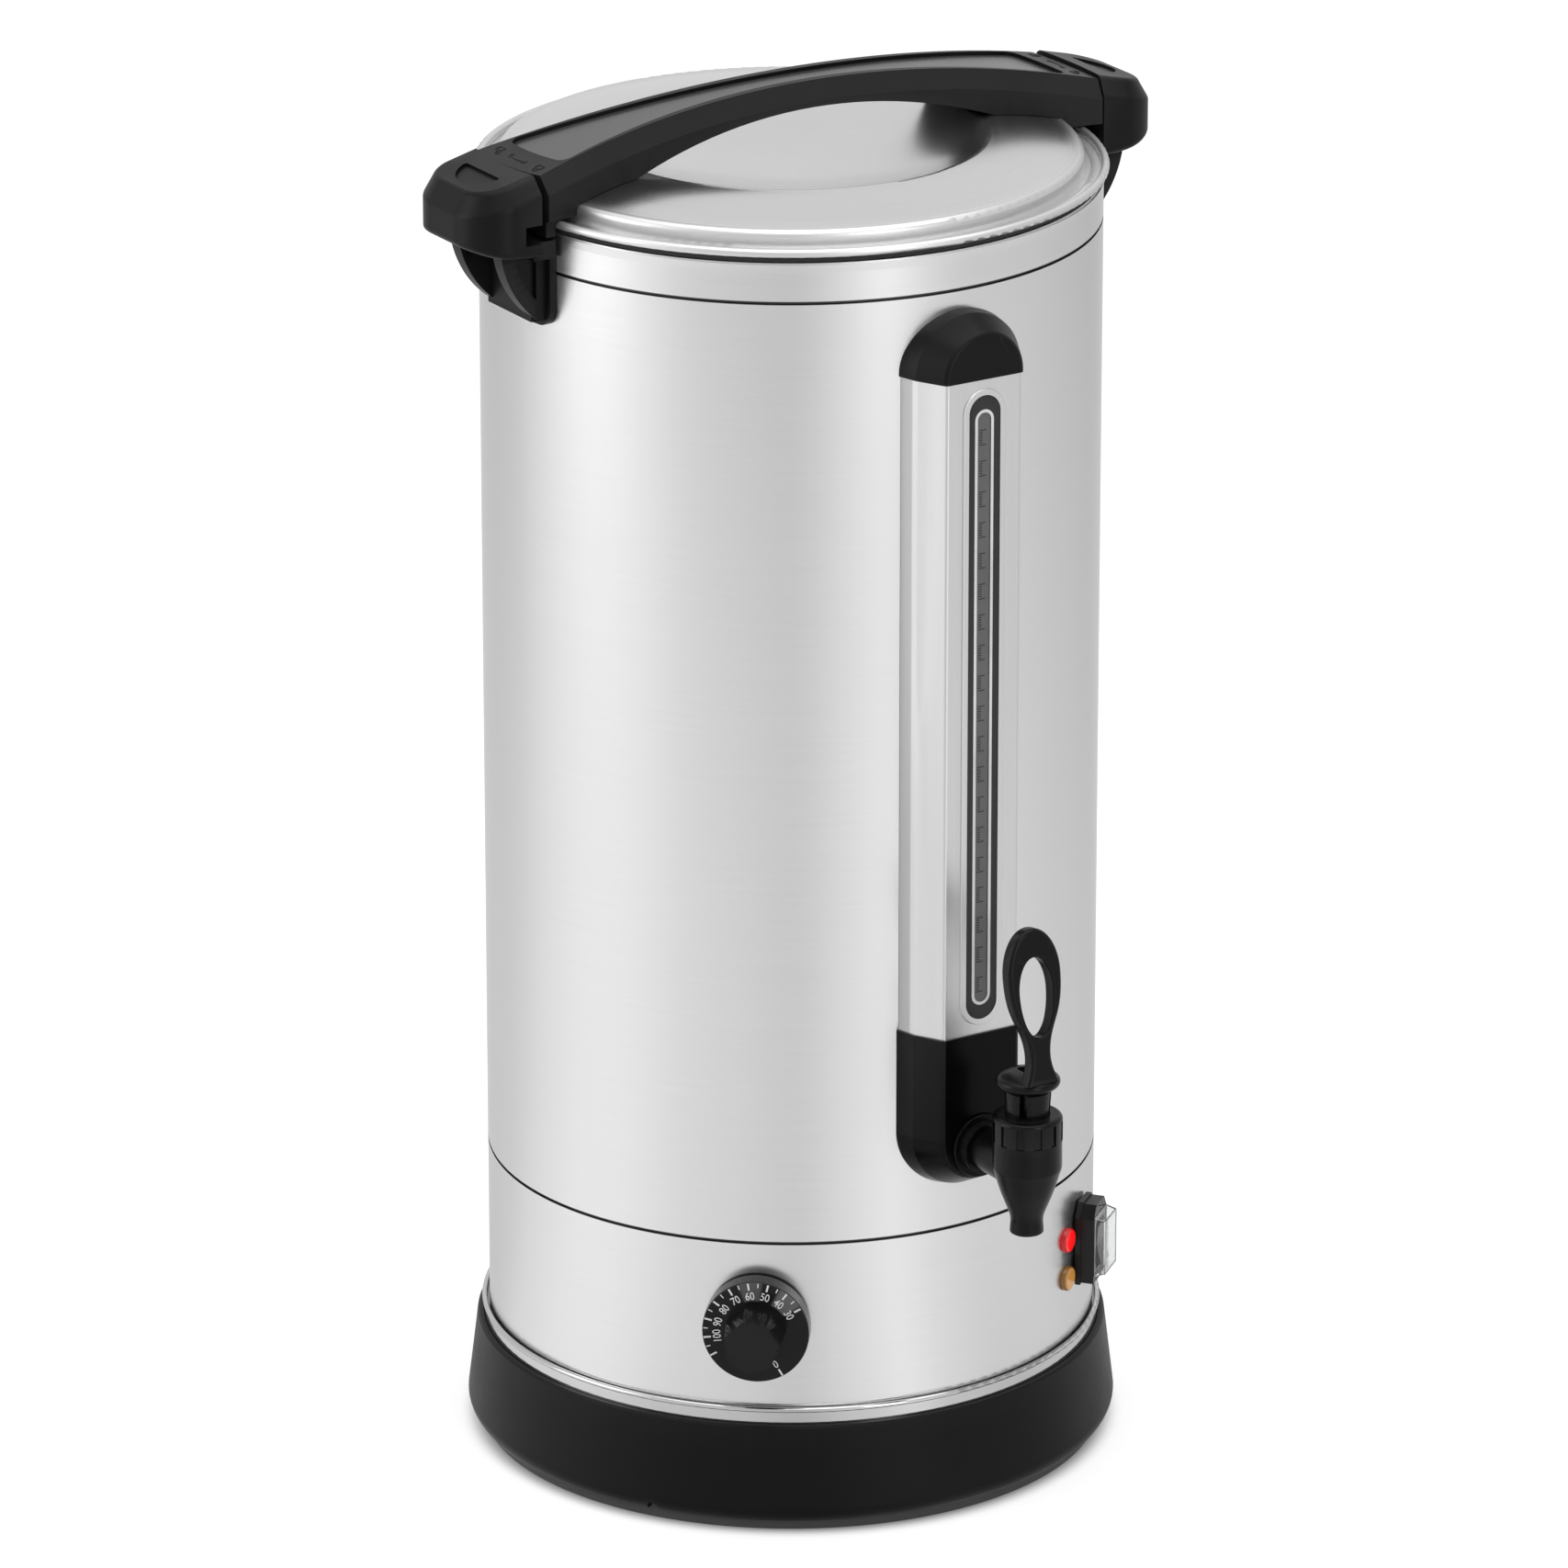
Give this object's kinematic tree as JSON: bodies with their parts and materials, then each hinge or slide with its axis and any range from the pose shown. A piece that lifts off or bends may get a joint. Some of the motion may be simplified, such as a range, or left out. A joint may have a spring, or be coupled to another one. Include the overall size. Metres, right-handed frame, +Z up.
{
  "type": "hot water urn",
  "caption": "Tall steel hot water urn with twist-lock lid, lid bar, side handles, level gauge, lever tap, thermostat dial, lamps and covered switch.",
  "frame": {"origin": "on the standing plane, on the axis of the tank", "axes": "+Z up along the tank; -Y towards the tap; +X towards the side handle on the right when the tap is faced"},
  "size_m": [0.388, 0.3929, 0.6902],
  "materials": {
    "matte_black": "matte",
    "gloss_black": "gloss",
    "rocker_black": "semi-gloss",
    "rubber_black": "matte",
    "brushed_steel": "brushed across the body",
    "satin_steel": "satin",
    "polished_steel": "polished",
    "dark_steel": "heat darkened",
    "aluminium_plate": "cast",
    "copper": "drawn",
    "zinc_screw": "zinc plated",
    "ceramic_white": "matte",
    "silicone": "soft matte",
    "gauge_grey": "matte with a printed white outline",
    "clear_cover": "clear",
    "clear_tube": "clear",
    "red_lens": "gloss",
    "amber_lens": "gloss"
  },
  "bodies": {
    "urn": {"base_skirt": "matte_black", "base_feet": "rubber_black", "base_tray": "polished_steel", "base_screws": "zinc_screw", "base_nuts": "zinc_screw", "control_band": "brushed_steel", "outer_jacket": "brushed_steel", "rim_collar": "brushed_steel", "inner_tank": "satin_steel", "heater_plate": "aluminium_plate", "heating_element": "dark_steel", "thermal_cutouts": "ceramic_white", "terminal_block": "ceramic_white", "cable_gland": "matte_black", "gland_nut": "matte_black", "thermostat_body": "ceramic_white", "thermostat_screws": "zinc_screw", "thermostat_capillary": "copper", "heating_lamp_lens": "red_lens", "keep_warm_lamp_lens": "amber_lens", "lamp_holders": "ceramic_white", "switch_housing": "gloss_black", "switch_cover": "clear_cover", "gauge_column": "brushed_steel", "gauge_bezel": "gauge_grey", "gauge_window": "clear_cover", "sight_tube": "clear_tube", "gauge_tee": "satin_steel", "sight_tube_seal": "silicone", "column_cap": "matte_black", "column_foot_cover": "matte_black", "tap_body": "matte_black", "tap_bonnet": "matte_black", "tap_guide": "matte_black", "tap_washers": "silicone", "tap_nut": "satin_steel", "side_handle_left": "matte_black", "side_handle_right": "matte_black", "handle_screws": "zinc_screw", "tap_spring": "satin_steel"},
    "gasket": {"lid_gasket": "rubber_black"},
    "lid": {"lid_shell": "satin_steel", "lid_inner_ring": "matte_black", "lid_bar": "matte_black", "lid_bar_inlay": "matte_black", "lid_bar_screws": "zinc_screw"},
    "dial": {"thermostat_knob": "gloss_black", "thermostat_shaft": "zinc_screw"},
    "rocker": {"switch_rocker": "rocker_black"},
    "stem": {"tap_stem": "satin_steel", "tap_pin": "satin_steel", "tap_seat_cup": "silicone"},
    "lever": {"tap_lever": "matte_black"}
  },
  "joints": [
    {"name": "lid_lift", "type": "slide", "parent": "urn", "child": "gasket", "axis": [0, 0, 1], "range_m": [0, 0.2]},
    {"name": "lid_twist", "type": "hinge", "parent": "gasket", "child": "lid", "pos_m": [0, 0, 0.6417], "axis": [0, 0, 1], "range_deg": [0, 20]},
    {"name": "dial_turn", "type": "hinge", "parent": "urn", "child": "dial", "pos_m": [-0.09255, -0.11804, 0.1064], "axis": [0.617, 0.7869, 0], "range_deg": [-150, 123]},
    {"name": "rocker_tilt", "type": "hinge", "parent": "urn", "child": "rocker", "pos_m": [0.10156, -0.12104, 0.1085], "axis": [0.766, 0.6428, 0], "range_deg": [0, 22]},
    {"name": "stem_rise", "type": "slide", "parent": "urn", "child": "stem", "axis": [0, 0, 1], "range_m": [0, 0.0072], "deforming": ["tap_spring"]},
    {"name": "lever_tilt", "type": "hinge", "parent": "stem", "child": "lever", "pos_m": [0, -0.213, 0.24607], "axis": [1, 0, 0], "range_deg": [0, 32], "stiffness_Nm_per_rad": 0.4, "springref_deg": -17.19}
  ],
  "couplings": [
    {"joint": "stem_rise", "follows": "lever_tilt", "m_per_rad": 0.0128}
  ]
}
